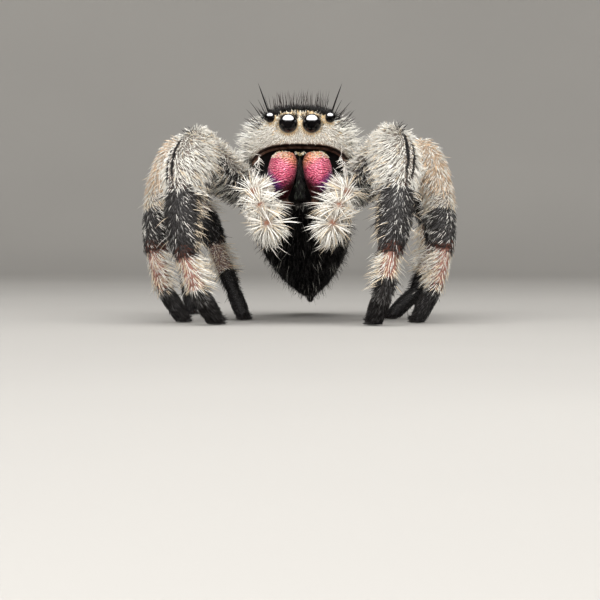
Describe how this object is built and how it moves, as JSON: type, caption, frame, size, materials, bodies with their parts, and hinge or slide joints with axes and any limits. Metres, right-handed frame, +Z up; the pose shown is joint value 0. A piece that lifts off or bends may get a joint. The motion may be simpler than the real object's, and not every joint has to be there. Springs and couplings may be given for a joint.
{
  "type": "regal jumping spider, adult female",
  "caption": "Life-size still model of a pale, furry jumping spider standing alert on the floor, with large front eyes, pink iridescent jaws and a dark abdomen.",
  "frame": {"origin": "on the floor, under the middle of the spider's bounding box", "axes": "+Z up, -Y the way she faces, +X her left"},
  "size_m": [0.0114, 0.0158, 0.0078],
  "materials": {
    "white_coat": "dense pale hair",
    "dark_coat": "short dark grey hair",
    "pink_coat": "pale skin under long white hair",
    "black_coat": "short black hair",
    "iridescent": "iridescent pink shell",
    "eye": "polished black lens"
  },
  "bodies": {
    "root": {"abdomen": "black_coat", "carapace": "white_coat", "chelicera_l": "iridescent", "chelicera_r": "iridescent", "eye_front_middle_l": "eye", "eye_front_middle_r": "eye", "eye_front_side_l": "eye", "eye_front_side_r": "eye", "eye_rear_middle_l": "eye", "eye_rear_middle_r": "eye", "eye_rear_side_l": "eye", "eye_rear_side_r": "eye", "leg1_l_femur": "white_coat", "leg1_l_metatarsus": "pink_coat", "leg1_l_patella": "white_coat", "leg1_l_tarsus": "black_coat", "leg1_l_tibia": "dark_coat", "leg1_r_femur": "white_coat", "leg1_r_metatarsus": "pink_coat", "leg1_r_patella": "white_coat", "leg1_r_tarsus": "black_coat", "leg1_r_tibia": "dark_coat", "leg2_l_femur": "white_coat", "leg2_l_metatarsus": "pink_coat", "leg2_l_patella": "white_coat", "leg2_l_tarsus": "black_coat", "leg2_l_tibia": "dark_coat", "leg2_r_femur": "white_coat", "leg2_r_metatarsus": "pink_coat", "leg2_r_patella": "white_coat", "leg2_r_tarsus": "black_coat", "leg2_r_tibia": "dark_coat", "leg3_l_femur": "white_coat", "leg3_l_metatarsus": "pink_coat", "leg3_l_patella": "white_coat", "leg3_l_tarsus": "black_coat", "leg3_l_tibia": "dark_coat", "leg3_r_femur": "white_coat", "leg3_r_metatarsus": "pink_coat", "leg3_r_patella": "white_coat", "leg3_r_tarsus": "black_coat", "leg3_r_tibia": "dark_coat", "leg4_l_femur": "white_coat", "leg4_l_metatarsus": "pink_coat", "leg4_l_patella": "white_coat", "leg4_l_tarsus": "black_coat", "leg4_l_tibia": "dark_coat", "leg4_r_femur": "white_coat", "leg4_r_metatarsus": "pink_coat", "leg4_r_patella": "white_coat", "leg4_r_tarsus": "black_coat", "leg4_r_tibia": "dark_coat", "palp_l_femur": "white_coat", "palp_l_tarsus": "white_coat", "palp_l_tibia": "white_coat", "palp_r_femur": "white_coat", "palp_r_tarsus": "white_coat", "palp_r_tibia": "white_coat", "spinnerets": "dark_coat", "sternum": "dark_coat"}
  },
  "joints": []
}
